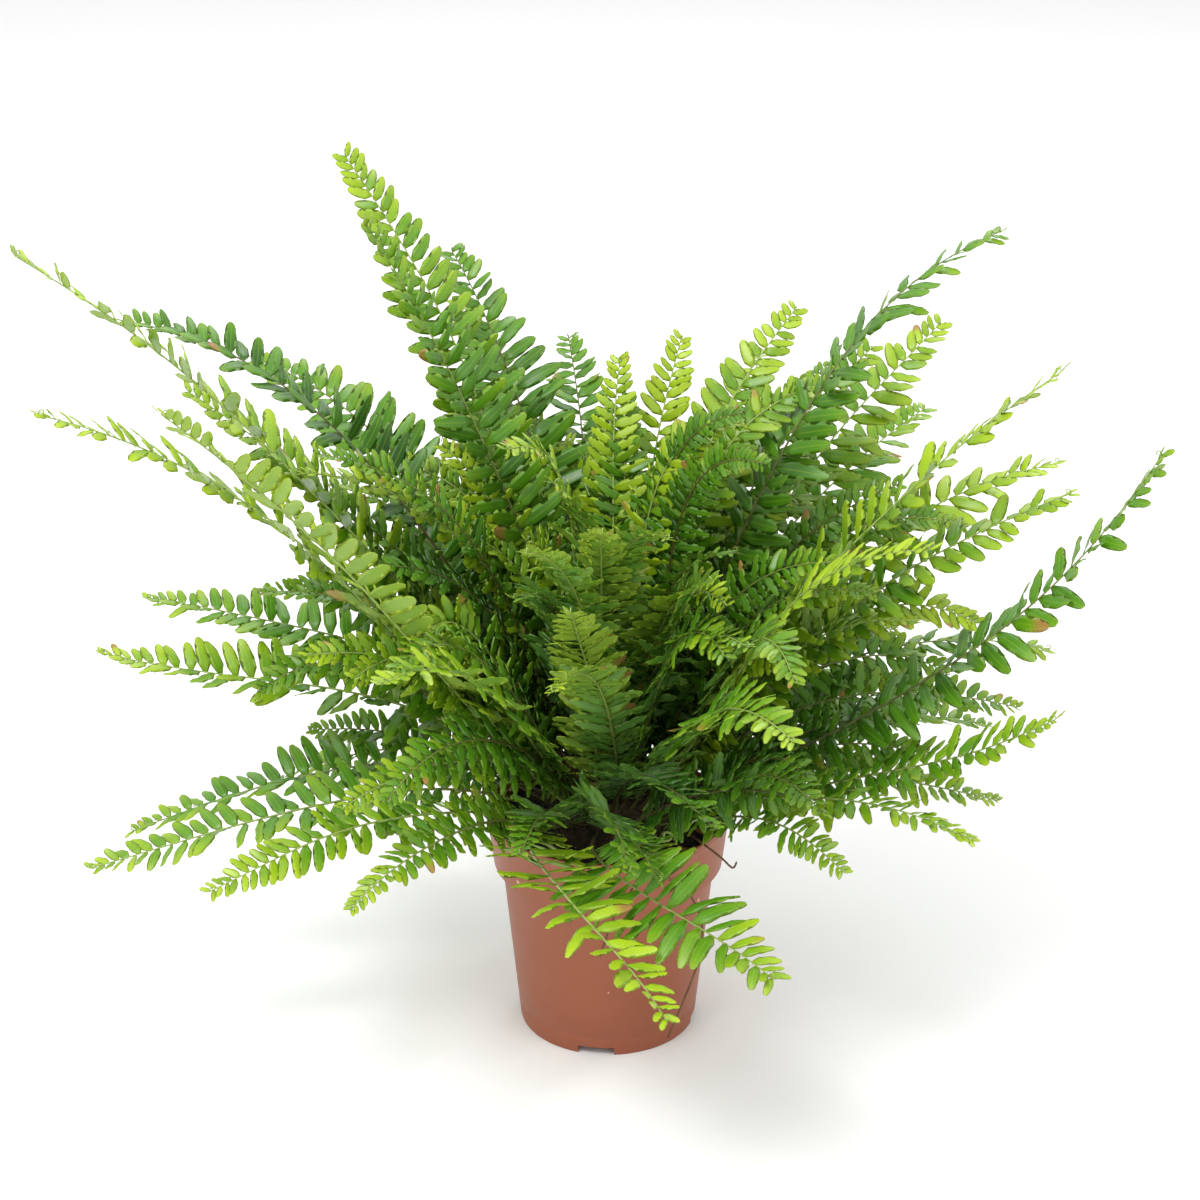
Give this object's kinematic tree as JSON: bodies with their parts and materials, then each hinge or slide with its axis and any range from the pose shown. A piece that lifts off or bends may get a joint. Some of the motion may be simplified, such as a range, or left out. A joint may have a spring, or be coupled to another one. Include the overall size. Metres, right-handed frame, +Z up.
{
  "type": "potted fern",
  "caption": "Leafy sword fern with arching, finely divided fronds growing in a round terracotta-coloured plastic nursery pot.",
  "frame": {"origin": "centre of the pot's foot on the surface it stands on, which is also the middle of the plant's footprint", "axes": "+Z up along the pot's axis; -Y is the front, the side with the bare rim and the frond that hangs over it; +X is to the right seen from the front"},
  "size_m": [0.4993, 0.4006, 0.4184],
  "materials": {
    "pot_plastic": "satin",
    "potting_mix": "matte",
    "crown_wood": "matte",
    "frond_leaf": "satin",
    "runner_stem": "matte",
    "young_stem": "satin",
    "dead_leaf": "matte"
  },
  "bodies": {
    "root": {"crown": "crown_wood", "dead_leaflet_1": "dead_leaf", "dead_leaflet_2": "dead_leaf", "dead_leaflet_3": "dead_leaf", "fiddlehead": "young_stem", "frond_inner_01": "frond_leaf", "frond_inner_02": "frond_leaf", "frond_inner_03": "frond_leaf", "frond_inner_04": "frond_leaf", "frond_inner_05": "frond_leaf", "frond_low_01": "frond_leaf", "frond_low_02": "frond_leaf", "frond_low_03": "frond_leaf", "frond_low_04": "frond_leaf", "frond_low_05": "frond_leaf", "frond_low_06": "frond_leaf", "frond_low_07": "frond_leaf", "frond_low_08": "frond_leaf", "frond_low_09": "frond_leaf", "frond_low_10": "frond_leaf", "frond_low_11": "frond_leaf", "frond_low_12": "frond_leaf", "frond_low_13": "frond_leaf", "frond_low_14": "frond_leaf", "frond_low_15": "frond_leaf", "frond_low_16": "frond_leaf", "frond_mid_01": "frond_leaf", "frond_mid_02": "frond_leaf", "frond_mid_03": "frond_leaf", "frond_mid_04": "frond_leaf", "frond_mid_05": "frond_leaf", "frond_mid_06": "frond_leaf", "frond_mid_07": "frond_leaf", "frond_mid_08": "frond_leaf", "frond_mid_09": "frond_leaf", "frond_mid_10": "frond_leaf", "frond_mid_11": "frond_leaf", "frond_mid_12": "frond_leaf", "frond_mid_13": "frond_leaf", "frond_mid_14": "frond_leaf", "frond_mid_15": "frond_leaf", "frond_mid_16": "frond_leaf", "frond_mid_17": "frond_leaf", "frond_mid_18": "frond_leaf", "frond_mid_19": "frond_leaf", "frond_upper_01": "frond_leaf", "frond_upper_02": "frond_leaf", "frond_upper_03": "frond_leaf", "frond_upper_04": "frond_leaf", "frond_upper_05": "frond_leaf", "frond_upper_06": "frond_leaf", "frond_upper_07": "frond_leaf", "frond_upper_08": "frond_leaf", "frond_upper_09": "frond_leaf", "pot": "pot_plastic", "potting_soil": "potting_mix", "runner_hooked": "runner_stem", "runner_long": "runner_stem", "runner_short": "runner_stem"}
  },
  "joints": []
}
